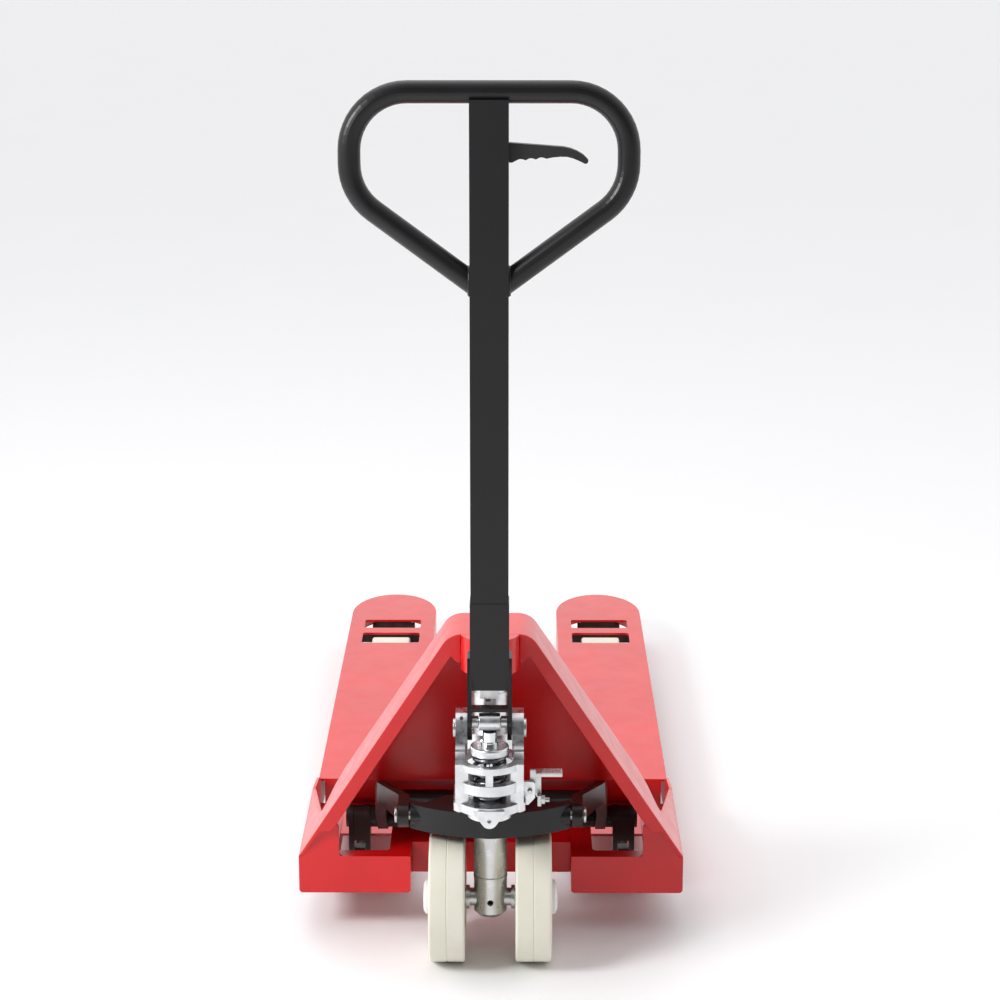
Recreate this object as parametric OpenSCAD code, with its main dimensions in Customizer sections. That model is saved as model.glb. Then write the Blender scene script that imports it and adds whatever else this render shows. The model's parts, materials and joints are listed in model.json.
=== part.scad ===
// Hand pallet truck: two forks on a welded A-shaped frame, carried by a steered hydraulic
// pump at the front and by swing-down load rollers in the fork tips.
// Millimetres, +Z up, floor at z = 0, forks towards +Y, drawn in the lowered position.
// Modules are drawn about the steering axis (x = 0, y = 0) and at_steering() puts them in the
// part's frame, whose origin is under the middle of the overall length.

/* [Forks] */
// Width over both forks
overall_w = 550; // [540:5:560]
// Width of one fork
fork_w = 160; // [156:2:164]
// Height of the fork deck when lowered
deck_z = 85; // [85:1:88]
// Distance from the steering axis to the load face
load_y = 240; // [236:2:246]
// Length of the forks beyond the load face
fork_len = 1214; // [1190:2:1240]
// Length of the rounded part of each fork tip
tip_len = 118; // [90:2:130]
// Thickness of the fork and heel sheet
sheet_t = 4; // [4:0.5:5]

/* [Frame] */
// Height of the top platform over the ram
platform_z = 481; // [470:1:490]
// Half width of the platform before it bends down
platform_hw = 55; // [52:1:58]
// Height of the heel boxes at the front
heel_top_z = 117; // [112:1:120]
// Underside of the heel boxes
heel_low_z = 61; // [56:1:64]
// Front face of the heel boxes, from the steering axis
heel_y = 78; // [74:1:82]
// Thickness of the frame strap
strap_t = 5; // [4:0.5:6]

/* [Steering wheels] */
// Diameter of the steering wheels
wheel_d = 180; // [170:2:182]
// Width of one steering wheel
wheel_w = 50; // [44:2:50]
// Distance between the two wheel centres
wheel_gap = 120; // [118:1:126]
// Diameter of the wheel axle
axle_d = 25; // [20:1:25]

/* [Load rollers] */
// Diameter of the load rollers
roller_d = 80; // [76:1:80]
// Width of one load roller
roller_w = 70; // [60:2:70]
// Distance from the bracket pivot to the roller axle
swing_len = 140; // [138:1:142]

/* [Pump and handle] */
// Travel of the forks
lift = 115; // [100:5:115]
// Handle pivot, in front of the steering axis
pivot_y = 86; // [84:1:90]
// Height of the handle pivot
pivot_z = 373; // [370:1:376]
// Height of the top of the handle
handle_top = 1233; // [1150:1:1240]
// Diameter of the handle tube
tube_d = 29; // [26:1:32]
// Half width of the handle loop
loop_hw = 191; // [170:1:200]
// Width of the handle column
column_w = 50; // [46:1:50]
// Depth of the handle column
column_d = 36; // [32:1:38]

/* [Hidden] */
$fn = 64;
eps = 0.01;
fit = 0.05;                       // radial clearance of running pins
tip_y = load_y + fork_len;
nose_y = -161;                    // front of the pump's tongue, the foremost point
steer_y = -(tip_y + nose_y) / 2;  // puts the origin under the middle of the length

fork_xo = overall_w / 2;
fork_xi = fork_xo - fork_w;
fork_xc = (fork_xo + fork_xi) / 2;
flange_z = 32;                    // lower edge of the fork flanges
under_z = deck_z - sheet_t;       // underside of the fork deck
notch_y = 464;                    // the deck's outer part starts here
notch_x = 235;                    // inner side of the notch beside the strap
window_x = [146, 221];            // opening in the heel's top sheet for the levers
window_y = 101;
plate_end_y = 190;                // rear edge of the top sheet beside the window
inner_wall_z = 100;               // top of the heel's inner wall under the rocker shaft
slot_w = 106;                     // the two slots over the load roller
slot_r = 6;
slots = [[1151, 1211], [1241, 1290]];

strap_low = [heel_y, heel_top_z];           // (y, z) of the strap's front edge, low end
strap_high = [-15, platform_z];             // and high end
lean = atan2(strap_low[0] - strap_high[0], strap_high[1] - strap_low[1]);
splay = atan2(fork_xo - platform_hw, platform_z - heel_top_z);
strap_lip = 23;                             // inward lip on the strap's front edge
lip_t = strap_t / cos(lean);                // its depth along y
lip_low = 160;                              // its lower end, just below the heel plate's top
bend_r = 30;                                // outer bend between platform and strap
strap_rear = [[83, platform_z], [124, 344], [160, 222], [152, 196], [128, 176],
              [126, 168], [140, 158], [340, heel_top_z]];
rear_top = [83, platform_z - strap_t];      // rear wall, from the platform down
rear_mid = [124, 344];
rear_low = [168, 201];
face_top = [load_y, 139];

wheel_r = wheel_d / 2;
roller_r = roller_d / 2;

bracket_z = 44;                             // swing bracket pivot
bracket_drop = asin((bracket_z - roller_r) / swing_len);
bracket_end = asin((bracket_z - roller_r + lift) / swing_len);
bracket_turn = bracket_end - bracket_drop;
bracket_y = 1192 - swing_len * cos(bracket_drop);
load_roller_y = 1192;
lug_h = 28.9;                               // bracket lug, pushed by the push rod
rod_travel = 2 * lug_h * sin(bracket_turn / 2);
lug_pin = [bracket_y - rod_travel / 2, bracket_z + lug_h * cos(bracket_turn / 2)];

yoke_pin = [2, 212];                        // (y, z) of the yoke's side pins
shaft_y = 218;                              // rocker shaft
shaft_z = 122;
shaft_r = 16;
rocker_up = atan2(yoke_pin[1] - shaft_z, shaft_y - yoke_pin[0]);
rocker_down = atan2(shaft_z - yoke_pin[1] + lift, shaft_y - yoke_pin[0]);
rocker_turn = rocker_up + rocker_down;
lever_len = rod_travel / (2 * sin(rocker_turn / 2));
lever_pin = [shaft_y - rod_travel / 2, shaft_z - lever_len * cos(rocker_turn / 2)];
rod_r = 7.5;

yoke_z = [194, 230];                        // height band of the yoke
yoke_front = -40;                           // its foremost point
yoke_half = 111;                            // half width of the arc
yoke_arc_r = 186;

roller_arm = 30;                            // handle pivot to pump roller
roller_rise = 35;                           // its angle above the pivot at rest
pump_roller_r = 12;
pump_roller = [-pivot_y - roller_arm * cos(roller_rise), pivot_z + roller_arm * sin(roller_rise)];
plunger_y = -113;
plunger_top = pump_roller[1] - pump_roller_r - 0.5;
cage_r = 44;
base_z = [273.5, 285];
column_y = -90;                             // middle of the column
column_top = 1210;
bracket_top = 553;                          // the column's sleeve ends here
column_low = 433;                           // lower edge of the sleeve's front face

loop_r = (tube_d / 2) + 59;                 // centreline radius of the loop's bends
loop_x = loop_hw - tube_d / 2 - loop_r;
loop_z = handle_top - tube_d / 2 - loop_r;  // centre of the upper bends
loop_drop = 17;                             // straight side between the bends
leg_slope = 36.5;

cylinder_r = 43;                            // pump housing round the ram
cylinder_top = 345;
ram_r = 19;
ram_bore_z = 246;                           // bottom of the ram's bore
tube_r = 23;                                // steering tube under the yoke

paint_red = [0.78, 0.08, 0.08];
paint_black = [0.07, 0.07, 0.075];
zinc = [0.78, 0.79, 0.80];
steel = [0.62, 0.63, 0.64];
nylon = [0.90, 0.89, 0.83];
dark_steel = [0.20, 0.16, 0.15];

// ---- helpers ---------------------------------------------------------------------------

module at_steering() { translate([0, steer_y, 0]) children(); }

// Mirrors a right-hand piece to the left for s = -1
module side(s) { mirror([s < 0 ? 1 : 0, 0, 0]) children(); }

module both_sides() { for (s = [-1, 1]) side(s) children(); }

module block(x, y, z) {
    translate([x[0], y[0], z[0]]) cube([x[1] - x[0], y[1] - y[0], z[1] - z[0]]);
}

module bar_x(r, x, y, z) {
    translate([x[0], y, z]) rotate([0, 90, 0]) cylinder(r = r, h = x[1] - x[0]);
}

module bar_y(r, x, y, z) {
    translate([x, y[1], z]) rotate([90, 0, 0]) cylinder(r = r, h = y[1] - y[0]);
}

module bar_z(r, x, y, z) {
    translate([x, y, z[0]]) cylinder(r = r, h = z[1] - z[0]);
}

// A flat outline drawn in (y, z), as thick as x says
module plate_yz(x) {
    translate([x[0], 0, 0]) rotate([90, 0, 90]) linear_extrude(x[1] - x[0]) children();
}

// A flat outline drawn in (x, z), as thick as y says
module plate_xz(y) {
    translate([0, y[1], 0]) rotate([90, 0, 0]) linear_extrude(y[1] - y[0]) children();
}

module plate_xy(z) { translate([0, 0, z[0]]) linear_extrude(z[1] - z[0]) children(); }

// Rectangle from corner a to corner b with round corners
module soft_rect(a, b, r) {
    translate([a[0] + r, a[1]]) square([b[0] - a[0] - 2 * r, b[1] - a[1]]);
    translate([a[0], a[1] + r]) square([b[0] - a[0], b[1] - a[1] - 2 * r]);
    for (x = [a[0] + r, b[0] - r], y = [a[1] + r, b[1] - r])
        translate([x, y]) circle(r = r, $fn = 24);
}

function arc(c, r, from, to, n = 8) =
    [for (i = [0:n]) let (a = from + (to - from) * i / n) c + r * [cos(a), sin(a)]];

// Round-ended bar outline between two points
module link_shape(a, b, ra, rb) {
    along = atan2(b[1] - a[1], b[0] - a[0]);
    side = acos((ra - rb) / norm(b - a));
    polygon(concat(arc(a, ra, along + side, along + 360 - side, 16),
                   arc(b, rb, along - side, along + side, 16)));
}

function reversed(v) = [for (i = [len(v) - 1:-1:0]) v[i]];

// ---- forks -----------------------------------------------------------------------------

// Outline of one fork from above, drawn inset by the sheet's thickness for the inside
function fork_outline(inset, near_y) = concat(
    [[notch_x - inset, near_y], [notch_x - inset, notch_y + inset],
     [fork_xo - inset, notch_y + inset]],
    [for (a = [0:6:180])
        [fork_xc + (fork_w / 2 - inset) * cos(a), tip_y - tip_len + (tip_len - inset) * sin(a)]],
    [[fork_xi + inset, near_y]]);

module fork() {
    color(paint_red) difference() {
        plate_xy([flange_z, deck_z]) polygon(fork_outline(0, load_y));
        plate_xy([flange_z - 1, under_z]) polygon(fork_outline(sheet_t, load_y - 1));
        for (s = slots)
            plate_xy([under_z - 1, deck_z + 1])
                soft_rect([fork_xc - slot_w / 2, s[0]], [fork_xc + slot_w / 2, s[1]], slot_r);
        // open corner between the turned-down front face and the outer flange
        block([fork_xo - sheet_t - 5, fork_xo - sheet_t], [notch_y - 1, notch_y + sheet_t + 1],
              [flange_z + 10, under_z]);
        bar_x(8, [fork_xi - 1, fork_xo + 1], bracket_y, bracket_z);
    }
}

module fork_stiffeners() {
    color(paint_red) both_sides() for (x = [fork_xc - 56, fork_xc + 52])
        block([x, x + 4], [notch_y + 16, bracket_y - 60], [under_z - 34, under_z]);
}

module tip_brace() {
    color(dark_steel) {
        block([fork_xc - 34, fork_xc + 34], [1298, 1310], [40, under_z]);
        for (x = [fork_xc - 40, fork_xc + 34])
            bar_x(9, [x, x + 6], 1304, 66);
        block([fork_xc - 76, fork_xc + 76], [1302, 1306], [36, 54]);
    }
}

// ---- heel boxes and frame -----------------------------------------------------------------

// Distance of the strap's outer face from the middle, at a height
function strap_x(z) = platform_hw + (platform_z - z) * tan(splay);

// and of its inner face
function strap_in(z) = strap_x(z) - strap_t / cos(splay);

module heel_face() {
    r = 5;
    polygon(concat(
        arc([fork_xi + r, heel_low_z + r], r, 180, 270, 4),
        arc([fork_xo - r, heel_low_z + r], r, 270, 360, 4),
        [[fork_xo, heel_top_z], [strap_in(heel_top_z), heel_top_z], [strap_in(167), 167]],
        arc([217 + r, 161], r, 90, 180, 4),
        arc([217 - r, heel_top_z + r], r, 0, -90, 4),
        arc([fork_xi + r, heel_top_z - r], r, 90, 180, 4)));
}

module heel_box() {
    r = slot_r;
    color(paint_red) {
        plate_xz([heel_y, heel_y + sheet_t]) heel_face();
    // top sheet, open behind the window for the rocker's levers
        plate_xy([heel_top_z - sheet_t, heel_top_z]) polygon(concat(
            [[fork_xi, heel_y], [fork_xo, heel_y], [fork_xo, load_y - sheet_t],
             [window_x[1], load_y - sheet_t]],
            arc([window_x[1] - r, window_y + r], r, 0, -90, 4),
            arc([window_x[0] + r, window_y + r], r, -90, -180, 4),
            [[window_x[0], plate_end_y], [fork_xi, plate_end_y]]));
        plate_yz([fork_xi, fork_xi + sheet_t])
            polygon([[heel_y, heel_low_z + 3], [heel_y, heel_top_z], [plate_end_y, heel_top_z],
                     [plate_end_y, inner_wall_z], [load_y - sheet_t, inner_wall_z],
                     [load_y - sheet_t, heel_low_z - 8], [150, heel_low_z]]);
        plate_yz([fork_xo - sheet_t, fork_xo])
            polygon([[heel_y, heel_low_z + 3], [heel_y, heel_top_z], [340, heel_top_z],
                     [420, 104], [notch_y, deck_z], [notch_y, flange_z], [load_y + 60, flange_z],
                     [150, heel_low_z]]);
    }
}

// Front edge of the strap at a height
function strap_y(z) = strap_low[0] - (z - strap_low[1]) * tan(lean);

// Half of the strap's section from the front, from the middle outwards and back inside
function strap_half() = concat(
    arc([platform_hw - bend_tan(), platform_z - bend_r], bend_r, 90, splay, 6),
    [[strap_x(heel_top_z), heel_top_z],
     [strap_in(heel_top_z), heel_top_z]],
    reversed(arc([platform_hw - bend_tan(), platform_z - bend_r], bend_r - strap_t,
                 90, splay, 6)));

function bend_tan() = bend_r * tan((90 - splay) / 2);

module strap_section() {
    both_halves() polygon(concat([[0, platform_z]], strap_half(), [[0, platform_z - strap_t]]));
}

module both_halves() { for (s = [0, 1]) mirror([s, 0]) children(); }

// Lips along the strap's front edges, from the heel plates up to the platform
module lip_outline() {
    mid = strap_t / 2;
    both_halves() polygon(concat(
        arc([platform_hw - bend_tan(), platform_z - bend_r], bend_r - mid, 90, splay, 6),
        [[strap_x(lip_low) - mid / cos(splay), lip_low], [strap_x(lip_low) - strap_lip, lip_low],
         [strap_x(446) - strap_lip, 446], [nose_r + 7, 438], [nose_r, 435],
         [nose_r, platform_z - strap_t]]));
}

module frame_strap() {
    early = [-3, 0];
    color(paint_red) intersection() {
        union() {
            intersection() {
                plate_xz([-60, 400]) strap_section();
                plate_yz([-fork_xo - 1, fork_xo + 1])
                    polygon(concat([strap_low + early, strap_high + early], strap_rear));
            }
            intersection() {
                plate_xz([-60, 120]) lip_outline();
                plate_yz([-fork_xo, fork_xo])
                    polygon([strap_low + early, strap_high + early, strap_high + [lip_t, 0],
                             [strap_y(184) + lip_t, 184], [heel_y, 173], [heel_y, 150]]);
            }
        }
        // the common front plane
        plate_yz([-fork_xo - 2, fork_xo + 2])
            polygon([[strap_y(100), 100], [strap_y(500), 500], [400, 500], [400, 100]]);
    }
}

// Nose of the platform, round the steering axis
nose_r = 40;
nose_reach = -48;
hood_low = 431;

module nose_shape(inset) {
    translate([0, nose_reach + nose_r]) {
        circle(r = nose_r - inset, $fn = 96);
        translate([inset - nose_r, 0]) square([2 * (nose_r - inset), 9]);
    }
}

module platform_hood() {
    color(paint_red) {
        plate_xy([platform_z - strap_t, platform_z]) intersection() {
            nose_shape(0);
            translate([-nose_r, nose_reach]) square([2 * nose_r, strap_high[0] - nose_reach]);
        }
        plate_xy([hood_low, platform_z - strap_t]) difference() {
            nose_shape(0);
            nose_shape(4);
            translate([-nose_r - 1, 0]) square([2 * nose_r + 2, 60]);
        }
    }
}

// Sheet between two (y, z) points, following the straps at its sides
module rear_sheet(a, b, t, trim) {
    intersection() {
        plate_yz([-fork_xo, fork_xo]) polygon([a, b, b + [-t, 0], a + [-t, 0]]);
        plate_xz([-60, 400])
            polygon([for (p = [[-1, a], [1, a], [1, b], [-1, b]])
                [p[0] * (strap_x(p[1][1]) - trim), p[1][1]]]);
    }
}

module upper_rear_wall() {
    c = [platform_hw - bend_tan(), platform_z - bend_r];
    r = bend_r - strap_t;
    color(paint_red) difference() {
        rear_sheet(rear_top, rear_mid, 5, strap_t / cos(splay));
        // the upper corners follow the inside of the strap's bends
        plate_xz([-60, 400]) both_halves() polygon(concat(
            arc(c, r, 90, splay, 4), [c + [r + 30, r * sin(splay)], c + [r + 30, r + 1], c + [0, r + 1]]));
    }
}

module lower_rear_wall() {
    color(paint_red) rear_sheet(rear_mid, rear_low, 4, strap_t / cos(splay));
}

module load_face() {
    half = strap_x(rear_low[1]) - 8;
    color(paint_red) {
        plate_yz([-half, half])
            polygon([rear_low, face_top, face_top - [sheet_t, 0.7 * sheet_t],
                     rear_low - [sheet_t, 0]]);
        plate_xz([load_y - sheet_t, load_y]) difference() {
            translate([-half, 100]) square([2 * half, face_top[1] - 100]);
            // the middle stays open below the rear wall
            translate([-fork_xi, 90]) square([2 * fork_xi, 26]);
            // the levers swing back through these notches as the forks rise
            for (x = [-fork_xc, fork_xc]) translate([x - 22, 90]) square([44, 31]);
        }
        both_sides() plate_xz([load_y - sheet_t, load_y])
            translate([fork_xi, deck_z]) square([window_x[0] - fork_xi, 20]);
    }
}

module cross_member() {
    color(paint_red) {
        block([-fork_xi, fork_xi], [132, 132 + sheet_t], [70, heel_top_z]);
        block([-fork_xi, fork_xi], [132, plate_end_y], [heel_top_z - sheet_t, heel_top_z]);
        block([-fork_xi, fork_xi], [plate_end_y - sheet_t, plate_end_y], [96, heel_top_z]);
    }
}

module cross_tube() {
    color(paint_black) difference() {
        bar_x(11, [-153, 153], 153, 178);
        bar_x(8, [-154, 154], 153, 178);
    }
}

module ram_seat() {
    color(paint_red) difference() {
        bar_z(30, 0, 0, [platform_z - strap_t - 26, platform_z - strap_t]);
        bar_z(ram_r + 1, 0, 0, [platform_z - strap_t - 27, platform_z - strap_t - 12]);
    }
}

module ram() {
    color(steel) {
        bar_z(ram_r, 0, 0, [ram_bore_z + 4, platform_z - strap_t - 20]);
        translate([0, 0, platform_z - strap_t - 20]) cylinder(r1 = ram_r, r2 = 11, h = 8);
    }
}

module rocker_lugs() {
    color(paint_red) both_sides() plate_yz([fork_xi + 8, fork_xi + 18]) difference() {
        union() {
            translate([shaft_y, shaft_z]) circle(r = 21);
            translate([shaft_y - 12, shaft_z - 18])
                square([load_y - sheet_t - shaft_y + 12, 30]);
        }
        translate([shaft_y, shaft_z]) circle(r = shaft_r + fit);
        translate([load_y - sheet_t, shaft_z - 40]) square(80);
    }
}

module bracket_pins() {
    color(steel) both_sides() {
        bar_x(8 - eps, [fork_xi - 3, fork_xo - eps], bracket_y, bracket_z);
        bar_x(11, [fork_xi - 5, fork_xi - eps], bracket_y, bracket_z);
    }
}

// ---- yoke ------------------------------------------------------------------------------

module yoke_band() {
    c = [0, yoke_front + yoke_arc_r];
    intersection() {
        difference() {
            translate(c) circle(r = yoke_arc_r, $fn = 180);
            translate(c) circle(r = yoke_arc_r - 14, $fn = 180);
        }
        translate([-yoke_half, yoke_front]) square([2 * yoke_half, 60]);
    }
}

module yoke() {
    color(paint_black) difference() {
        union() {
            plate_xy(yoke_z) yoke_band();
            // web behind the arc, round the bearing
            plate_xy([yoke_z[0] + 8, yoke_z[1] - 6]) intersection() {
                translate([0, yoke_front + yoke_arc_r]) circle(r = yoke_arc_r - 4, $fn = 180);
                polygon([[-104, -40], [104, -40], [104, 4], [62, 46], [-62, 46], [-104, 4]]);
            }
            bar_z(42, 0, 0, [yoke_z[0], yoke_z[1] - 2]);
            both_sides() bar_x(15, [94, yoke_half], yoke_pin[0], yoke_pin[1]);
        }
        bar_z(32 + eps, 0, 0, [yoke_z[0] + 6, yoke_z[1] + 1]);
        bar_z(tube_r + 1, 0, 0, [yoke_z[0] - 1, yoke_z[0] + 7]);
        both_sides() bar_x(7, [90, yoke_half + 1], yoke_pin[0], yoke_pin[1]);
    }
}

module yoke_pins() {
    color(steel) both_sides() {
        bar_x(7 - eps, [91, 130], yoke_pin[0], yoke_pin[1]);
        bar_x(11, [129.5, 133], yoke_pin[0], yoke_pin[1]);
    }
}

module yoke_bearing() {
    color(steel) difference() {
        bar_z(32, 0, 0, [yoke_z[0] + 6, yoke_z[1] + 3.7]);
        bar_z(tube_r + 0.05, 0, 0, [yoke_z[0] + 5, yoke_z[1] + 5]);
    }
}

// ---- pump unit -------------------------------------------------------------------------

module steering_tube() {
    color(steel) difference() {
        union() {
            bar_z(tube_r, 0, 0, [127, yoke_z[1] + 4]);
            bar_z(tube_r + 0.6, 0, 0, [122, 125.5]);
            bar_z(tube_r, 0, 0, [72, 122]);
            bar_z(tube_r - 1.2, 0, 0, [125.5, 127]);
            translate([0, 0, 66]) cylinder(r1 = tube_r - 6, r2 = tube_r, h = 6);
        }
        bar_x(axle_d / 2 + eps, [-30, 30], 0, wheel_r);
        bar_y(4.4, 0, [-30, 30], wheel_r);
    }
}

module axle() {
    end = (wheel_gap + wheel_w) / 2 + 4;
    color(steel) difference() {
        union() {
            bar_x(axle_d / 2, [-end, end], 0, wheel_r);
            both_sides() bar_x(axle_d / 2 + 4, [29, 34.2], 0, wheel_r);
        }
        bar_y(4.4, 0, [-30, 30], wheel_r);
    }
}

module axle_pin() {
    color(dark_steel) difference() {
        bar_y(4.4 - eps, 0, [-20, 20], wheel_r);
        bar_y(2.2, 0, [-21, 21], wheel_r);
    }
}

module pump_cylinder() {
    color(zinc) difference() {
        union() {
            bar_z(cylinder_r, 0, 0, [262, cylinder_top]);
            bar_z(26, 0, 0, [cylinder_top, 398]);
            bar_z(24.5, 0, 0, [398, 402]);
            bar_z(34, 0, 0, [yoke_z[1] + 4, 262]);
            // valve block that carries the cage
            block([-34, 34], [plunger_y + 30, 0], [base_z[0] - 14, base_z[0]]);
            block([-34, 34], [-60, 0], [base_z[0], base_z[1] + 4]);
            bar_z(30, 0, plunger_y, [base_z[0] - 14, base_z[0]]);
        }
        bar_z(ram_r + fit, 0, 0, [ram_bore_z, 403]);
    }
}

// Cage in front of the cylinder: two side posts with ears, two rings and a base flange
module pump_cage() {
    post = [30, 45.5];
    color(zinc) difference() {
        union() {
            both_sides() {
                block(post, [plunger_y - 4, -60], [base_z[0], 350]);
                plate_yz(post) link_shape([-pivot_y - 4, 352], [-pivot_y, pivot_z + 4], 22, 17);
                block(post, [-96, -74], [pivot_z + 10, 397]);
            }
            bar_z(cage_r, 0, plunger_y, [331, 340]);
            bar_z(cage_r, 0, plunger_y, [301, 315]);
            // rib between the rings
            block([-5, 5], [plunger_y - cage_r + 1, plunger_y - 34], [314, 332]);
            both_sides() block([28, 45.5], [plunger_y - 26, plunger_y], [base_z[1] - 1, 340]);
            plate_xy(base_z) union() {
                translate([0, plunger_y]) circle(r = 46);
                soft_rect([-48, plunger_y - 26], [48, -60], 8);
            }
            // tongue under the flange
            plate_xz([nose_y, nose_y + 8]) hull() {
                translate([-20, base_z[0] + 5]) square([40, 4]);
                translate([0, base_z[0] - 5]) circle(r = 10.5, $fn = 32);
            }
        }
        // well for the spring
        bar_z(33, 0, plunger_y, [base_z[1], 360]);
        bar_z(12 + eps, 0, plunger_y, [base_z[0] - 1, base_z[1] + 1]);
        both_sides() bar_x(10, [post[0] - 1, post[1] + 1], -pivot_y, pivot_z);
        bar_y(2.8, 0, [nose_y - 1, nose_y + 9], base_z[0] - 5);
        bar_y(2.5, -37.5, [-130, -70], 390);
        bar_z(cylinder_r + eps, 0, 0, [base_z[0] - 2, 400]);
        block([-30, 30], [-100, -40], [341, 400]);
    }
}

module plunger_guide() {
    color(steel) difference() {
        bar_z(12, 0, plunger_y, [base_z[0], base_z[1] + 12]);
        bar_z(8 + fit, 0, plunger_y, [base_z[0] + 2, base_z[1] + 13]);
    }
}

module handle_pins() {
    color(steel) both_sides() {
        bar_x(10 - eps, [23.6, 45.5], -pivot_y, pivot_z);
        bar_x(13, [45.5, 49], -pivot_y, pivot_z);
    }
}

// Lug beside the cage that carries the release pedal
lug_pivot = [54, 295];
lug_y = [-118, -112];

module lug_plate() {
    color(zinc) plate_xz(lug_y) difference() {
        polygon([[48, 275], [52, 275], [61, 285], [61, 305], [58, 308], [45.5, 308], [45.5, 285],
                 [48, 285]]);
        translate(lug_pivot) circle(r = 3);
    }
}

module base_bolts() {
    color(steel) for (x = [-40, 40], y = [-125, -74])
        bar_z(4.5, x, y, [base_z[0] - 5, base_z[0]]);
}

module filler_plug() {
    color(dark_steel) {
        bar_z(6.5, 0, 34.8, [cylinder_top, cylinder_top + 5]);
        translate([0, 34.8, cylinder_top + 5]) cylinder(r = 5.5, h = 4, $fn = 6);
    }
}

module steer_wheel() {
    x = [(wheel_gap - wheel_w) / 2, (wheel_gap + wheel_w) / 2];
    mid = wheel_gap / 2;
    r = 4;
    color(nylon) translate([0, 0, wheel_r]) rotate([0, 90, 0]) rotate_extrude($fn = 128)
        polygon(concat(
            [[24, x[0] + 3], [40, x[0] + 3], [46, x[0]]],
            arc([wheel_r - r, x[0] + r], r, -90, 0, 4),
            [[wheel_r, mid - 1], [wheel_r - 1, mid], [wheel_r, mid + 1]],
            arc([wheel_r - r, x[1] - r], r, 0, 90, 4),
            [[46, x[1]], [40, x[1] - 3], [24, x[1] - 3]]));
}

module hub_cap() {
    x = (wheel_gap + wheel_w) / 2 - 3;
    color([0.95, 0.95, 0.94]) translate([0, 0, wheel_r]) rotate([0, 90, 0]) difference() {
        union() {
            translate([0, 0, x]) cylinder(r = 24 - eps, h = 8);
            translate([0, 0, x + 8]) cylinder(r1 = 24 - eps, r2 = 19, h = 3.5);
        }
        translate([0, 0, x - 1]) cylinder(r = axle_d / 2 + 3, h = 10);
    }
}

module wheel_bearing() {
    color(steel) for (x = [wheel_gap / 2 - 22, wheel_gap / 2 + 10]) difference() {
        bar_x(24, [x, x + 12], 0, wheel_r);
        bar_x(axle_d / 2 + fit, [x - 1, x + 13], 0, wheel_r);
    }
}

module plunger() {
    color(steel) {
        bar_z(9.5, 0, plunger_y, [360, plunger_top]);
        bar_z(11.5, 0, plunger_y, [358.5, 364]);
        bar_z(8, 0, plunger_y, [310, 359]);
    }
}

module spring_cap() {
    color(zinc) difference() {
        union() {
            bar_z(26, 0, plunger_y, [347, 357]);
            translate([0, 0, 357]) translate([0, plunger_y]) cylinder(r1 = 26, r2 = 24, h = 1.5);
        }
        bar_z(8, 0, plunger_y, [346, 360]);
    }
}

// Plain sleeve that holds the spring's space
module plunger_spring() {
    color(steel) difference() {
        bar_z(23, 0, plunger_y, [base_z[1], 347]);
        bar_z(17, 0, plunger_y, [base_z[1] - 1, 348]);
    }
}

module release_pedal() {
    p = lug_pivot;
    color(steel) {
        bar_y(3 - fit, p[0], [-124, -106], p[1]);
        plate_xz([-111.5, -106]) difference() {
            union() {
                translate(p) circle(r = 7);
                polygon([[p[0] - 3, p[1]], [p[0] + 5, p[1] - 6], [69, 276], [69, 312],
                         [97, 318], [97, 322], [p[0], 322], [p[0], 306]]);
            }
        }
        block([62, 97], [-124, -106], [317, 322]);
        block([64, 69], [-124, -106], [275, 290]);
    }
}

module release_nut() {
    color(steel) {
        translate([69, -117, 282]) rotate([0, 90, 0]) cylinder(r = 6.5, h = 5, $fn = 6);
        bar_x(3, [74, 80], -117, 282);
    }
}

// ---- handle ----------------------------------------------------------------------------

module handle_bracket() {
    half = column_w / 2;
    y = [column_y - column_d / 2, column_y + column_d / 2];
    color(paint_black) difference() {
        union() {
            // sleeve round the column's foot
            block([-half - 1, half + 1], [y[0] - 1, y[1] + 1], [column_low, bracket_top]);
            both_sides() plate_yz([23.6, 29.6]) hull() {
                translate([y[0] + 2, 476]) square([column_d - 4, 1]);
                translate([-pivot_y, pivot_z]) circle(r = 17, $fn = 32);
                translate(pump_roller) circle(r = 10, $fn = 32);
            }
            // cross bar over the roller
            block([-26, 26], [-118, -100], [406, 410]);
        }
        block([-half, half], [y[0], y[1]], [column_low - 1, bracket_top + 1]);
        both_sides() bar_x(10 + fit, [23, 31], -pivot_y, pivot_z);
        bar_x(5, [-31, 31], pump_roller[0], pump_roller[1]);
    }
}

module column() {
    half = column_w / 2 - eps;
    y = [column_y - column_d / 2 + eps, column_y + column_d / 2 - eps];
    color(paint_black) difference() {
        block([-half, half], y, [column_low + 4, column_top]);
        block([-half + 3, half - 3], [y[0] + 3, y[1] - 3], [column_low, column_top - 3]);
        bar_x(tube_d / 2, [-half - 1, half + 1], column_y, handle_top - tube_d / 2);
        // slot for the trigger
        block([half - 4, half + 1], [column_y - 7, column_y + 7], [1118, 1172]);
        bar_y(3 + eps, trigger_pivot[0], [column_y - column_d / 2 + 1, column_y + column_d / 2 - 1],
              trigger_pivot[1]);
    }
}

// Handle tube, swept along its centreline: two legs, two low bends, two high bends.
// Each station is a centre and the outward direction in the plane of the loop.
leg_turn = 90 - leg_slope;
low_bend = [loop_x, loop_z - loop_drop];
leg_top = low_bend + loop_r * [cos(leg_turn), -sin(leg_turn)];
leg_end_z = leg_top[1] - (leg_top[0] - column_w / 2) * tan(leg_slope);

function bend_stations(c, from, to, n) =
    [for (i = [0:n]) let (a = from + (to - from) * i / n, out = [cos(a), sin(a)])
        [c + loop_r * out, out]];

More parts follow.
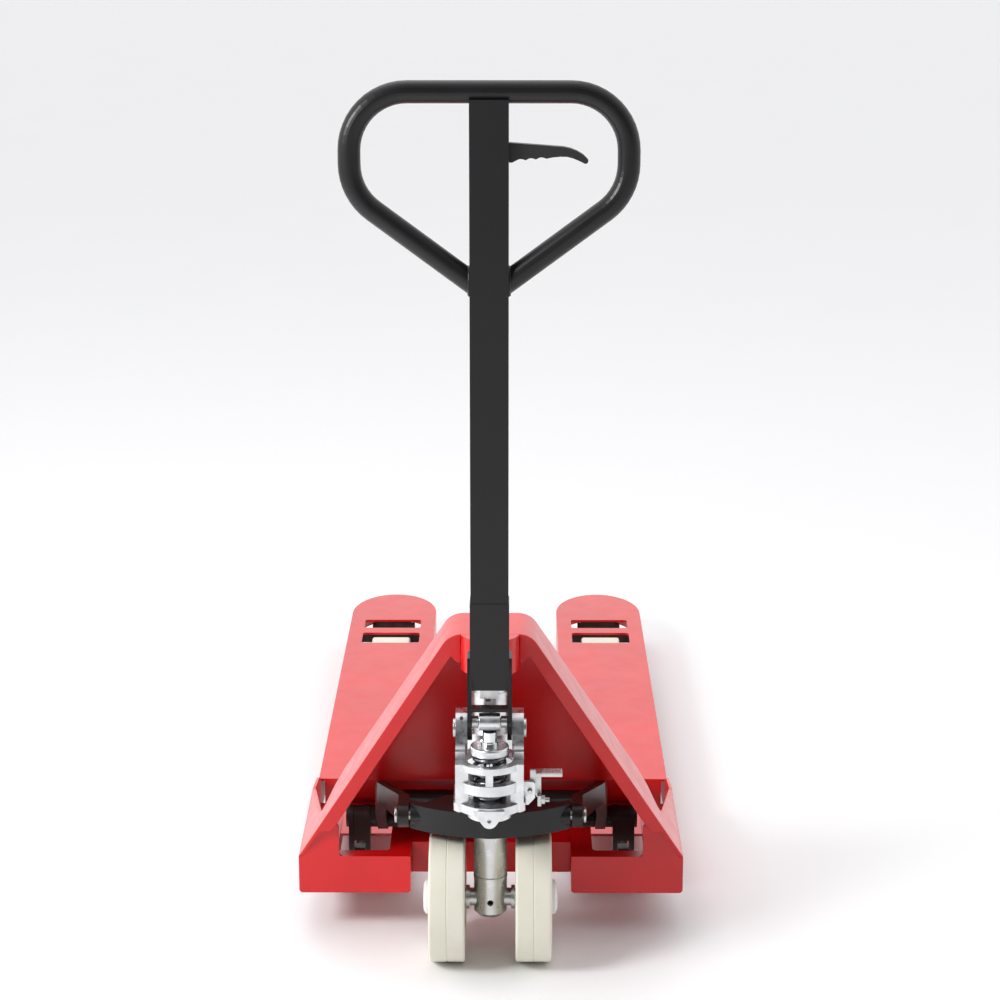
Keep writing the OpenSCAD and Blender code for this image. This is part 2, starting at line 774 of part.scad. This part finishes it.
loop_right = concat(
    [[[column_w / 2, leg_end_z], [0, -1 / cos(leg_slope)]]],
    bend_stations(low_bend, -leg_turn, 0, 8),
    bend_stations([loop_x, loop_z], 0, 90, 12));
loop_stations = concat(
    loop_right,
    [for (s = reversed(loop_right)) [[-s[0][0], s[0][1]], [-s[1][0], s[1][1]]]]);

module handle_loop() {
    sides = 28;
    r = tube_d / 2;
    last = len(loop_stations) - 1;
    color(paint_black) polyhedron(
        points = [for (s = loop_stations, k = [0:sides - 1]) let (a = 360 * k / sides)
            [s[0][0] + s[1][0] * r * cos(a), column_y + r * sin(a), s[0][1] + s[1][1] * r * cos(a)]],
        faces = concat(
            [[for (k = [0:sides - 1]) k]],
            [for (i = [0:last - 1], k = [0:sides - 1])
                [i * sides + k, (i + 1) * sides + k, (i + 1) * sides + (k + 1) % sides,
                 i * sides + (k + 1) % sides]],
            [[for (k = [sides - 1:-1:0]) last * sides + k]]));
}

module pump_roller() {
    color(zinc) difference() {
        bar_x(pump_roller_r, [-14, 14], pump_roller[0], pump_roller[1]);
        bar_x(5 + fit, [-15, 15], pump_roller[0], pump_roller[1]);
    }
}

module roller_pin() {
    color(steel) {
        bar_x(5 - eps, [-29, 29], pump_roller[0], pump_roller[1]);
        both_sides() bar_x(8, [15, 23.6], pump_roller[0], pump_roller[1]);
    }
}

trigger_pivot = [12, 1146];
rod_hook = 14;                              // trigger pivot to control rod
rod_x = trigger_pivot[0] - rod_hook;

// Lever blade with three finger hollows under it and a short arm to the control rod
module trigger() {
    p = trigger_pivot;
    color(paint_black) {
        plate_xz([column_y - 6, column_y + 6]) difference() {
            polygon(concat(
                arc(p, 9, 90, 270, 12),
                [[26, 1130.5], [29, 1130.5]],
                // shallow hollows for three fingers
                [for (i = [0:2], t = [0:5])
                    [33 + 13 * i + 13 * t / 6, 1132.4 + i + t / 6 + 2.2 * sin(30 * t)]],
                [[72, 1135.4], [80, 1137], [90, 1138], [98, 1137.8], [106, 1135.8],
                 [114, 1132.4]],
                arc([121.5, 1132.6], 3.6, -130, 40, 6),
                [[118.5, 1140.4], [111, 1145], [103, 1148.2], [94, 1150.2], [60, 1152.8],
                 [28, 1155.2]]));
            translate(p) circle(r = 3 + fit);
        }
        plate_xz([column_y - 3.5, column_y + 3.5]) difference() {
            link_shape(p, [rod_x, p[1]], 8, 6);
            translate(p) circle(r = 3 + fit);
            translate([rod_x, p[1]]) circle(r = 3.3);
        }
    }
}

module trigger_pin() {
    color(steel) bar_y(3, trigger_pivot[0],
                       [column_y - column_d / 2 + 1, column_y + column_d / 2 - 1],
                       trigger_pivot[1]);
}

// Rod down the column, with a fork at the top for the trigger's arm
module control_rod() {
    z = trigger_pivot[1];
    color(steel) {
        bar_z(3, rod_x, column_y, [412, z - 14]);
        block([rod_x - 6, rod_x + 6], [column_y - 7, column_y + 7], [z - 18, z - 12]);
        for (y = [column_y - 7, column_y + 4.5])
            block([rod_x - 6, rod_x + 4.4], [y, y + 2.5], [z - 13, z + 6]);
        bar_y(2.5, rod_x, [column_y - 7, column_y + 7], z);
        // guide block at the foot, seen in the opening under the column
        block([rod_x - 11, rod_x + 14], [column_y - 8, column_y + 8], [418, 430]);
    }
}

// ---- rocker and fork linkage ---------------------------------------------------------------

// One arm: its course from above cut to its course from the side. It dips over the edge
// of the heel box when the frame is up, so it is cranked.
module rocker_arm() {
    over = [97, 209];
    inner_x = [[-30, 113], [38, 114], [94, 147], [140, 153], [245, 153]];
    outer_x = [for (p = inner_x) p + [0, 15]];
    band = concat(
        arc(yoke_pin, 17.5, 90, 246, 12),
        [[24, 186.5], [over[0] - 7, over[1] - 15], [shaft_y - 13, shaft_z - 15]],
        arc([shaft_y, shaft_z], 17.5, -90, 40, 10),
        [[over[0] + 7, over[1] + 14]]);
    intersection() {
        plate_xy([40, 300]) polygon([for (p = concat(inner_x, reversed(outer_x))) [p[1], p[0]]]);
        plate_yz([100, 180]) polygon(band);
    }
}

module rocker() {
    lever_x = [[fork_xc - 16, fork_xc - 9], [fork_xc + 9, fork_xc + 16]];
    along = [cos(rocker_up), -sin(rocker_up)];
    across = [sin(rocker_up), cos(rocker_up)];
    color(paint_black) difference() {
        union() {
            bar_x(shaft_r, [-fork_xc - 20, fork_xc + 20], shaft_y, shaft_z);
            both_sides() {
                rocker_arm();
                for (x = lever_x) plate_yz(x) link_shape([shaft_y, shaft_z], lever_pin, 17.5, 9);
                // web between the two levers
                plate_yz([fork_xc - 14, fork_xc + 14]) intersection() {
                    link_shape([shaft_y, shaft_z], lever_pin, 16.5, 8);
                    translate([shaft_y - 40, 91]) square(80);
                }
            }
        }
        // the yoke pin slides along the arm as the frame rises
        both_sides() plate_yz([105, 135])
            link_shape(yoke_pin + 1.2 * across, yoke_pin + 1.2 * across + 18.8 * along, 9.3, 9.1);
        both_sides() bar_x(5, [fork_xc - 20, fork_xc + 20], lever_pin[0], lever_pin[1]);
    }
}

module lever_pins() {
    color(steel) both_sides()
        bar_x(5 - eps, [fork_xc - 18, fork_xc + 18], lever_pin[0], lever_pin[1]);
}

// Round bar with an eye at each end. The front eye is a slot, because the rocker's pin
// and the bracket's pin rise and fall on different arcs.
module push_rod() {
    eye_x = [fork_xc - 8, fork_xc + 8];
    z = lever_pin[1];
    color(dark_steel) difference() {
        union() {
            bar_y(rod_r, fork_xc, [lever_pin[0] + 12, lug_pin[0] - 5], z);
            plate_yz(eye_x)
                soft_rect([lever_pin[0] - 11, z - 15], [lever_pin[0] + 20, z + 9], 7);
            plate_yz(eye_x) link_shape(lug_pin - [18, 0], lug_pin, 7.2, 7.4);
        }
        plate_yz([fork_xc - 9, fork_xc + 9])
            link_shape(lever_pin - [0, 5.4], lever_pin + [0, 0.2], 5.8, 5.8);
        bar_x(5 + fit, [fork_xc - 9, fork_xc + 9], lug_pin[0], lug_pin[1]);
    }
}

module swing_bracket() {
    pivot = [bracket_y, bracket_z];
    hub = [load_roller_y, roller_r];
    color(paint_black) difference() {
        union() {
            bar_x(13, [fork_xc - 44, fork_xc + 44], pivot[0], pivot[1]);
            for (x = [fork_xc - 44, fork_xc + 38])
                plate_yz([x, x + 6]) link_shape(pivot, hub, 13, 17);
            for (x = [fork_xc - 15, fork_xc + 9])
                plate_yz([x, x + 6]) link_shape(pivot, lug_pin, 12, 7.5);
        }
        bar_x(8 + fit, [fork_xc - 45, fork_xc + 45], pivot[0], pivot[1]);
        bar_x(10, [fork_xc - 45, fork_xc + 45], hub[0], hub[1]);
        bar_x(5, [fork_xc - 16, fork_xc + 16], lug_pin[0], lug_pin[1]);
    }
}

module roller_axle() {
    color(steel) {
        bar_x(10 - eps, [fork_xc - 46, fork_xc + 46], load_roller_y, roller_r);
        bar_x(5 - eps, [fork_xc - 17, fork_xc + 17], lug_pin[0], lug_pin[1]);
    }
}

module load_roller() {
    x = [fork_xc - roller_w / 2, fork_xc + roller_w / 2];
    r = 4;
    color(nylon) translate([0, load_roller_y, roller_r]) rotate([0, 90, 0])
        rotate_extrude($fn = 96) polygon(concat(
            [[10 + fit, x[0] + 1], [22, x[0] + 1], [24, x[0]]],
            arc([roller_r - r, x[0] + r], r, -90, 0, 4),
            arc([roller_r - r, x[1] - r], r, 0, 90, 4),
            [[24, x[1]], [22, x[1] - 1], [10 + fit, x[1] - 1]]));
}

// ---- nodes -----------------------------------------------------------------------------

at_steering() side(-1) fork();  // left_fork
at_steering() fork();  // right_fork
at_steering() fork_stiffeners();
at_steering() side(-1) tip_brace();  // left_tip_brace
at_steering() tip_brace();  // right_tip_brace
at_steering() side(-1) heel_box();  // left_heel_box
at_steering() heel_box();  // right_heel_box
at_steering() frame_strap();
at_steering() platform_hood();
at_steering() upper_rear_wall();
at_steering() lower_rear_wall();
at_steering() load_face();
at_steering() cross_member();
at_steering() cross_tube();
at_steering() ram_seat();
at_steering() ram();
at_steering() rocker_lugs();
at_steering() bracket_pins();
at_steering() yoke();
at_steering() yoke_pins();
at_steering() yoke_bearing();
at_steering() steering_tube();
at_steering() axle();
at_steering() axle_pin();
at_steering() pump_cylinder();
at_steering() pump_cage();
at_steering() plunger_guide();
at_steering() handle_pins();
at_steering() lug_plate();
at_steering() base_bolts();
at_steering() filler_plug();
at_steering() side(-1) steer_wheel();  // left_wheel
at_steering() steer_wheel();  // right_wheel
at_steering() side(-1) hub_cap();  // left_hub_cap
at_steering() hub_cap();  // right_hub_cap
at_steering() side(-1) wheel_bearing();  // left_wheel_bearing
at_steering() wheel_bearing();  // right_wheel_bearing
at_steering() plunger();
at_steering() spring_cap();
at_steering() plunger_spring();
at_steering() release_pedal();
at_steering() release_nut();
at_steering() handle_bracket();
at_steering() column();
at_steering() handle_loop();
at_steering() pump_roller();
at_steering() roller_pin();
at_steering() trigger();
at_steering() trigger_pin();
at_steering() control_rod();
at_steering() rocker();
at_steering() lever_pins();
at_steering() side(-1) push_rod();  // left_push_rod
at_steering() push_rod();  // right_push_rod
at_steering() side(-1) swing_bracket();  // left_swing_bracket
at_steering() swing_bracket();  // right_swing_bracket
at_steering() side(-1) roller_axle();  // left_roller_axle
at_steering() roller_axle();  // right_roller_axle
at_steering() side(-1) load_roller();  // left_load_roller
at_steering() load_roller();  // right_load_roller
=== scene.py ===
"""Looks of the hand pallet truck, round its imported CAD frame. Metres, +Y to the fork tips."""
import json
import math

import bpy
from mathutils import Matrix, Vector


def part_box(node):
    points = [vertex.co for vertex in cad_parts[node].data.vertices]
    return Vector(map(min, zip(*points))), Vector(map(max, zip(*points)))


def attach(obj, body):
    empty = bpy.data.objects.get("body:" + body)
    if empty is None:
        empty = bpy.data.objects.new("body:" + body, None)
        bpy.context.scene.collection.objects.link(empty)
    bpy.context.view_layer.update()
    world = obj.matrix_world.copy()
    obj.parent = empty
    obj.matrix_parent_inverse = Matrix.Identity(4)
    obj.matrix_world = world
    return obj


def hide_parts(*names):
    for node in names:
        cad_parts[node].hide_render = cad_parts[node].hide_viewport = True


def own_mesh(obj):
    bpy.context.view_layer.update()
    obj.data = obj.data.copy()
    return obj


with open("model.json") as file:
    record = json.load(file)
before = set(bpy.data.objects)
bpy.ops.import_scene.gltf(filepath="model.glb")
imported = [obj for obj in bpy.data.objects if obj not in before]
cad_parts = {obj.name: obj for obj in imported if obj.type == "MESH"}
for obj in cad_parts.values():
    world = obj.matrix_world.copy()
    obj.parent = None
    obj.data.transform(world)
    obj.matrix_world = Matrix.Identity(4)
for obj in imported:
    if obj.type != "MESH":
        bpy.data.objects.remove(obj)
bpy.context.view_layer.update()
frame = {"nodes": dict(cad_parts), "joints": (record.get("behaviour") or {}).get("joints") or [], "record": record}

MM = 0.001
JOINTS = {j["name"]: j for j in frame["joints"]}
STEER_Y = JOINTS["steer"]["pos_m"][1]
WHEEL_AXIS = JOINTS["right_wheel_spin"]["pos_m"]
ROLLER_AXIS = JOINTS["right_roller_spin"]["pos_m"]

# Colour sockets of a Mix node, by number, because its other types repeat their names
MIX_A, MIX_B, MIX_RESULT = 6, 7, 2


# ---- materials -------------------------------------------------------------------------

class Shader:
    """A Principled material whose sockets are set directly, with helpers for its textures."""

    def __init__(self, name, colour, roughness, **sockets):
        self.material = bpy.data.materials.new(name)
        self.material.use_nodes = True
        self.nodes = self.material.node_tree.nodes
        self.links = self.material.node_tree.links
        self.bsdf = self.nodes["Principled BSDF"]
        self.material.diffuse_color = (*colour, 1)
        self.colour = colour
        self.set("Base Color", (*colour, 1))
        self.set("Roughness", roughness)
        for socket, value in sockets.items():
            self.set(socket.replace("_", " "), value)
        self.coords = self.add("ShaderNodeTexCoord").outputs["Object"]
        self.last_normal = None     # so that one bump lies over another

    def set(self, socket, value):
        self.bsdf.inputs[socket].default_value = value

    def add(self, kind, **values):
        node = self.nodes.new(kind)
        for key, value in values.items():
            setattr(node, key, value)
        return node

    def place(self, scale=(1, 1, 1), origin=(0, 0, 0)):
        """Object coordinates moved so that origin is at zero, then stretched."""
        mapping = self.add("ShaderNodeMapping")
        self.links.new(self.coords, mapping.inputs["Vector"])
        mapping.inputs["Location"].default_value = [-o * s for o, s in zip(origin, scale)]
        mapping.inputs["Scale"].default_value = scale
        return mapping.outputs["Vector"]

    def noise(self, scale, detail=3, vector=None):
        node = self.add("ShaderNodeTexNoise")
        self.links.new(vector or self.coords, node.inputs["Vector"])
        node.inputs["Scale"].default_value = scale
        node.inputs["Detail"].default_value = detail
        return node.outputs["Fac"]

    def rings(self, pitch, origin):
        """Fine turned rings round an axis along X through origin."""
        node = self.add("ShaderNodeTexWave", wave_type="RINGS", rings_direction="X")
        self.links.new(self.place(origin=origin), node.inputs["Vector"])
        # at a scale of 1 the wave repeats every 2 pi / 20 = 0.314
        node.inputs["Scale"].default_value = 0.314 / pitch
        node.inputs["Distortion"].default_value = 0.4
        node.inputs["Detail"].default_value = 1
        return node.outputs["Fac"]

    def remap(self, value, low, high, from_low=0.3, from_high=0.7):
        node = self.add("ShaderNodeMapRange")
        self.links.new(value, node.inputs["Value"])
        for key, number in zip(("From Min", "From Max", "To Min", "To Max"),
                               (from_low, from_high, low, high)):
            node.inputs[key].default_value = number
        return node.outputs["Result"]

    def vary_roughness(self, value, low, high):
        self.links.new(self.remap(value, low, high), self.bsdf.inputs["Roughness"])

    def vary_colour(self, value, dark, light):
        """Tints the base colour between dark and light shares of itself."""
        mix = self.add("ShaderNodeMix", data_type="RGBA")
        self.links.new(self.remap(value, 0, 1), mix.inputs["Factor"])
        for socket, share in ((MIX_A, dark), (MIX_B, light)):
            mix.inputs[socket].default_value = (*[min(1, c * share) for c in self.colour], 1)
        self.links.new(mix.outputs[MIX_RESULT], self.bsdf.inputs["Base Color"])

    def bump(self, value, depth, strength):
        node = self.add("ShaderNodeBump")
        node.inputs["Strength"].default_value = strength
        node.inputs["Distance"].default_value = depth
        self.links.new(value, node.inputs["Height"])
        if self.last_normal:
            self.links.new(self.last_normal, node.inputs["Normal"])
        self.last_normal = node.outputs["Normal"]
        self.links.new(self.last_normal, self.bsdf.inputs["Normal"])


def powder_coat(name, colour, roughness, coat):
    """Powder coat: orange peel, faint patches of sheen and depth of colour."""
    s = Shader(name, colour, roughness, Coat_Weight=coat, Coat_Roughness=0.26,
               Specular_IOR_Level=0.22)
    s.vary_colour(s.noise(9, 4), 0.92, 1.06)
    s.vary_roughness(s.noise(26, 4), roughness - 0.04, roughness + 0.05)
    s.bump(s.noise(420, 2), 0.00012, 0.6)
    s.bump(s.noise(60, 2), 0.0003, 0.25)
    return s.material


def plated(name, colour, roughness, grain):
    """Zinc plate over a casting: bright, with a soft uneven surface."""
    s = Shader(name, colour, roughness, Metallic=1)
    s.vary_colour(s.noise(45, 4), 0.88, 1.05)
    s.vary_roughness(s.noise(120, 5), roughness - 0.07, roughness + 0.12)
    s.bump(s.noise(grain, 2), 0.00012, 0.25)
    return s.material


def turned(name, colour, roughness, axis):
    """Turned or drawn steel: fine marks that run round or along the axis."""
    s = Shader(name, colour, roughness, Metallic=1)
    stretch = [6 if k == axis else 0.4 for k in "XYZ"]
    s.vary_roughness(s.noise(90, 4), roughness - 0.06, roughness + 0.1)
    s.vary_colour(s.noise(30, 3), 0.86, 1.05)
    s.bump(s.noise(160, 1, s.place(stretch)), 0.00003, 0.3)
    return s.material


def dark_steel():
    """Oiled mill-scale steel."""
    s = Shader("dark_steel", (0.045, 0.034, 0.032), 0.42, Metallic=0.55)
    s.vary_colour(s.noise(35, 5), 0.6, 1.5)
    s.vary_roughness(s.noise(80, 4), 0.34, 0.55)
    s.bump(s.noise(300, 3), 0.0002, 0.4)
    return s.material


def nylon(name, axis):
    """Ivory cast nylon with turned faces."""
    s = Shader(name, (0.80, 0.775, 0.66), 0.42, Subsurface_Weight=0.12, Subsurface_Scale=0.004)
    s.vary_colour(s.noise(14, 4), 0.95, 1.03)
    s.vary_roughness(s.noise(60, 4), 0.36, 0.5)
    s.bump(s.rings(1.1 * MM, axis), 0.00006, 0.5)
    s.bump(s.noise(250, 3), 0.0001, 0.25)
    return s.material


def moulded(name, colour, roughness):
    """Moulded plastic with a fine grain."""
    s = Shader(name, colour, roughness)
    s.vary_colour(s.noise(20, 3), 0.95, 1.03)
    s.vary_roughness(s.noise(90, 3), roughness - 0.05, roughness + 0.06)
    s.bump(s.noise(700, 2), 0.00008, 0.5)
    return s.material


MATERIALS = {
    "red_paint": powder_coat("red_paint", (0.68, 0.005, 0.007), 0.33, 0.6),
    "black_paint": powder_coat("black_paint", (0.010, 0.010, 0.011), 0.36, 0.25),
    # Black coat tinted brown: a painted reflection of the red frame on the shaded rocker and cross tube
    "black_paint_with_painted_red_reflection": powder_coat("black_paint_with_painted_red_reflection", (0.017, 0.010, 0.009), 0.34, 0.3),
    "black_plastic": moulded("black_plastic", (0.014, 0.014, 0.015), 0.45),
    "dark_steel": dark_steel(),
    "zinc": plated("zinc", (0.72, 0.73, 0.74), 0.3, 160),
    "steel": turned("steel", (0.62, 0.62, 0.61), 0.3, "X"),
    "chrome": turned("chrome", (0.78, 0.79, 0.80), 0.12, "Z"),
    "spring_steel": turned("spring_steel", (0.30, 0.30, 0.31), 0.28, "Z"),
    "nylon": nylon("nylon", WHEEL_AXIS),
    "roller_nylon": nylon("roller_nylon", ROLLER_AXIS),
    "white_plastic": moulded("white_plastic", (0.84, 0.84, 0.83), 0.3),
    "tube_steel": turned("tube_steel", (0.66, 0.66, 0.65), 0.3, "Z"),
}
OWN_MATERIAL = {
    "left_load_roller": "roller_nylon",
    "right_load_roller": "roller_nylon",
    "steering_tube": "tube_steel",
    # the rocker and cross tube take the brown-tinted black, a painted red reflection
    "rocker": "black_paint_with_painted_red_reflection",
    "cross_tube": "black_paint_with_painted_red_reflection",
}


# ---- CAD nodes -------------------------------------------------------------------------

# Radius of the rounded edges, in millimetres; the rest get EDGE_MM
EDGE_MM = 0.6
EDGES_MM = {
    "left_fork": 1.5, "right_fork": 1.5, "left_heel_box": 1.2, "right_heel_box": 1.2,
    "frame_strap": 1.4, "platform_hood": 1.4, "column": 2.6, "handle_bracket": 1.2,
    "yoke": 2.0, "rocker": 1.4, "pump_cage": 1.6, "trigger": 1.6,
    "spring_cap": 1.2, "lug_plate": 1.2, "release_pedal": 0.8, "load_face": 1.2,
}
# Round parts whose facets stay as they are
TURNED = ["ram", "steering_tube", "pump_cylinder", "axle", "yoke_bearing", "plunger",
          "left_wheel", "right_wheel", "left_load_roller", "right_load_roller",
          "left_hub_cap", "right_hub_cap", "ram_seat"]


def soften(node, radius):
    """Merges the flat faces' triangles and rounds the edges, with no change to the mesh."""
    weld = node.modifiers.new("weld", "WELD")
    weld.merge_threshold = 0.01 * MM
    flat = node.modifiers.new("flat", "DECIMATE")
    flat.decimate_type = "DISSOLVE"
    flat.angle_limit = math.radians(0.6)
    edge = node.modifiers.new("edge", "BEVEL")
    edge.width = radius
    edge.segments = 3
    edge.limit_method = "ANGLE"
    edge.angle_limit = math.radians(32)
    edge.miter_outer = "MITER_ARC"
    keep_flat(node)


def keep_flat(node):
    """Large faces keep their own normals, so that shading does not bleed over them."""
    normals = node.modifiers.new("normals", "WEIGHTED_NORMAL")
    normals.keep_sharp = True
    normals.weight = 100


def smooth(mesh, angle=35):
    """Smooth faces, with edges sharper than the angle kept."""
    for polygon in mesh.polygons:
        polygon.use_smooth = True
    mesh.set_sharp_from_angle(angle=math.radians(angle))


def dress_cad():
    for part in frame["record"]["subparts"]:
        name = part["node"]
        node = frame["nodes"][name]
        material = MATERIALS[OWN_MATERIAL.get(name, part["material_slot"])]
        node.data.materials.clear()
        node.data.materials.append(material)
        smooth(node.data)
        if name in TURNED:
            keep_flat(node)
        elif name != "handle_loop":
            soften(node, EDGES_MM.get(name, EDGE_MM) * MM)


# ---- pieces of its own -------------------------------------------------------------------

def piece(name, verts, faces, slot, body):
    mesh = bpy.data.meshes.new(name)
    mesh.from_pydata([tuple(v) for v in verts], [], faces)
    mesh.validate()
    smooth(mesh, 40)
    mesh.materials.append(MATERIALS[slot])
    obj = bpy.data.objects.new(name, mesh)
    bpy.context.scene.collection.objects.link(obj)
    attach(obj, body)
    return obj


def tube(path, radii, sides=12, closed=False):
    """Vertices and faces of a round tube along a list of points."""
    verts, faces = [], []
    count = len(path)
    normal = None
    for i, point in enumerate(path):
        ahead = path[(i + 1) % count] if closed or i + 1 < count else point
        behind = path[i - 1] if closed or i > 0 else point
        along = (ahead - behind).normalized()
        if normal is None:
            normal = along.orthogonal().normalized()
        normal = (normal - along * normal.dot(along)).normalized()
        side = along.cross(normal)
        for k in range(sides):
            a = 2 * math.pi * k / sides
            verts.append(point + (normal * math.cos(a) + side * math.sin(a)) * radii[i])
    for i in range(count if closed else count - 1):
        j = (i + 1) % count
        for k in range(sides):
            m = (k + 1) % sides
            faces.append((i * sides + k, i * sides + m, j * sides + m, j * sides + k))
    if not closed:
        faces.append(tuple(range(sides - 1, -1, -1)))
        faces.append(tuple((count - 1) * sides + k for k in range(sides)))
    return verts, faces


def plunger_spring():
    """Compression spring with closed ends, in the space of the CAD sleeve."""
    low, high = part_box("plunger_spring")
    axis = (low + high) / 2
    wire = 2.9 * MM
    coil_r = (high.x - low.x) / 2 - wire
    turns, per_turn = 6.5, 40
    count = int(turns * per_turn)
    closed = 0.75 / turns       # share of the wire in one closed end
    path = []
    for i in range(count + 1):
        t = i / count
        if t < closed:
            climb = 0.25 * t
        elif t > 1 - closed:
            climb = 1 - 0.25 * (1 - t)
        else:
            share = (t - closed) / (1 - 2 * closed)
            climb = 0.25 * closed + (1 - 0.5 * closed) * share
        z = low.z + wire + (high.z - low.z - 2 * wire) * climb
        a = 2 * math.pi * turns * t
        path.append(Vector((axis.x + coil_r * math.cos(a), axis.y + coil_r * math.sin(a), z)))
    spring = piece("spring_coil", *tube(path, [wire] * len(path)), "spring_steel", "pump")
    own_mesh(spring)
    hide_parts("plunger_spring")


def bead(name, path, width, slot, body, ripple=0.12):
    """A weld bead round a joint: a closed run whose width swells and shrinks."""
    step = width * 0.35
    fine = []
    for a, b in zip(path, path[1:] + path[:1]):
        parts = max(1, int((b - a).length / step))
        fine += [a.lerp(b, i / parts) for i in range(parts)]
    radii = [width / 2 * (1 + ripple * math.sin(i * 1.7) + 0.05 * math.sin(i * 0.61))
             for i in range(len(fine))]
    return piece(name, *tube(fine, radii, 10, closed=True), slot, body)


def handle_welds():
    """Beads where the loop's legs meet the column."""
    low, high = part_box("column")
    y = (low.y + high.y) / 2
    tube_r = 14.5 * MM
    slope = math.radians(36.5)      # of the legs, above level
    leg_z = 978.8 * MM              # where a leg's centreline meets the column
    half_height = tube_r / math.cos(slope)
    proud = 0.4 * MM
    points = 40
    for side, sign in (("left", -1), ("right", 1)):
        ring = []
        for k in range(points):
            a = 2 * math.pi * k / points
            ring.append(Vector((sign * (high.x + proud), y + tube_r * math.cos(a),
                                leg_z + half_height * math.sin(a))))
        bead(f"{side}_leg_weld", ring, 4.6 * MM, "black_paint", "handle")


def pedal_ribs():
    """Ribs across the tread of the release pedal."""
    low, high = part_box("release_pedal")
    first, last, count = low.x + 24 * MM, high.x - 1.2 * MM, 14
    sunk = 0.2 * MM
    end_gap = 0.6 * MM
    half, rise = 0.62 * MM, 1.0 * MM
    section = [(-half, 0), (-half * 0.6, rise * 0.8), (0, rise), (half * 0.6, rise * 0.8),
               (half, 0)]
    n = len(section)
    verts, faces = [], []
    for i in range(count):
        x = first + (last - first) * i / (count - 1)
        base = len(verts)
        for y in (low.y + end_gap, high.y - end_gap):
            verts += [Vector((x + dx, y, high.z - sunk + dz)) for dx, dz in section]
        for k in range(n):
            m = (k + 1) % n
            faces.append((base + k, base + m, base + m + n, base + k + n))
        faces.append(tuple(base + k for k in range(n - 1, -1, -1)))
        faces.append(tuple(base + n + k for k in range(n)))
    piece("pedal_ribs", verts, faces, "steel", "release")


# ---- studio ----------------------------------------------------------------------------

def make_camera():
    """The viewpoint in front of the handle, above it and looking slightly down."""
    data = bpy.data.cameras.new("camera")
    data.sensor_width = 36
    data.lens = 90.155
    data.clip_end = 100
    distance, height, aside = 3.24988, 1.53399, 0.02813     # from the steering axis
    down, left = 14.96, 0.26                                # degrees
    camera = bpy.data.objects.new("camera", data)
    camera.location = (aside, STEER_Y - distance, height)
    camera.rotation_euler = (math.radians(90 - down), 0, math.radians(left))
    bpy.context.scene.collection.objects.link(camera)
    bpy.context.scene.camera = camera


def make_floor():
    mesh = bpy.data.meshes.new("floor")
    half = 30
    z = -0.4 * MM       # just under the wheels, so that the two don't flicker
    mesh.from_pydata([(-half, -half, z), (half, -half, z), (half, half, z), (-half, half, z)],
                     [], [(0, 1, 2, 3)])
    s = Shader("floor", (0.93, 0.93, 0.935), 0.6, Specular_IOR_Level=0.25)
    s.vary_roughness(s.noise(3, 3), 0.5, 0.6)
    s.bump(s.noise(120, 2), 0.0001, 0.1)
    mesh.materials.append(s.material)
    floor = bpy.data.objects.new("floor", mesh)
    bpy.context.scene.collection.objects.link(floor)


def area_light(name, location, target, size, power):
    data = bpy.data.lights.new(name, "AREA")
    data.shape = "DISK"
    data.size = size
    data.energy = power
    light = bpy.data.objects.new(name, data)
    light.location = location
    direction = Vector(target) - Vector(location)
    light.rotation_euler = direction.to_track_quat("-Z", "Y").to_euler()
    bpy.context.scene.collection.objects.link(light)


def make_world():
    """Pale studio: bright above and behind the truck, greyer behind the camera."""
    world = bpy.data.worlds.new("studio")
    bpy.context.scene.world = world
    world.use_nodes = True
    nodes, links = world.node_tree.nodes, world.node_tree.links
    coords = nodes.new("ShaderNodeTexCoord")
    axes = nodes.new("ShaderNodeSeparateXYZ")
    links.new(coords.outputs["Generated"], axes.inputs["Vector"])
    share = nodes.new("ShaderNodeMapRange")
    share.interpolation_type = "SMOOTHSTEP"
    share.inputs["From Min"].default_value = -0.75
    share.inputs["From Max"].default_value = -0.05
    links.new(axes.outputs["Y"], share.inputs["Value"])
    shade = nodes.new("ShaderNodeMix")
    shade.data_type = "RGBA"
    links.new(share.outputs["Result"], shade.inputs["Factor"])
    shade.inputs[MIX_A].default_value = (0.09, 0.09, 0.095, 1)
    shade.inputs[MIX_B].default_value = (1.16, 1.16, 1.17, 1)
    background = nodes["Background"]
    links.new(shade.outputs[MIX_RESULT], background.inputs["Color"])
    background.inputs["Strength"].default_value = 1.0


def make_studio():
    make_world()
    area_light("key", (-1.9, STEER_Y - 1.3, 1.9), (0, STEER_Y + 0.1, 0.25), 0.9, 52)
    area_light("top", (-0.7, STEER_Y + 1.6, 4.0), (0, STEER_Y + 0.7, 0), 3.0, 22)
    make_floor()
    bpy.context.scene.view_settings.view_transform = "Standard"


# ---- build -----------------------------------------------------------------------------

make_camera()
make_studio()
dress_cad()
plunger_spring()
handle_welds()
pedal_ribs()
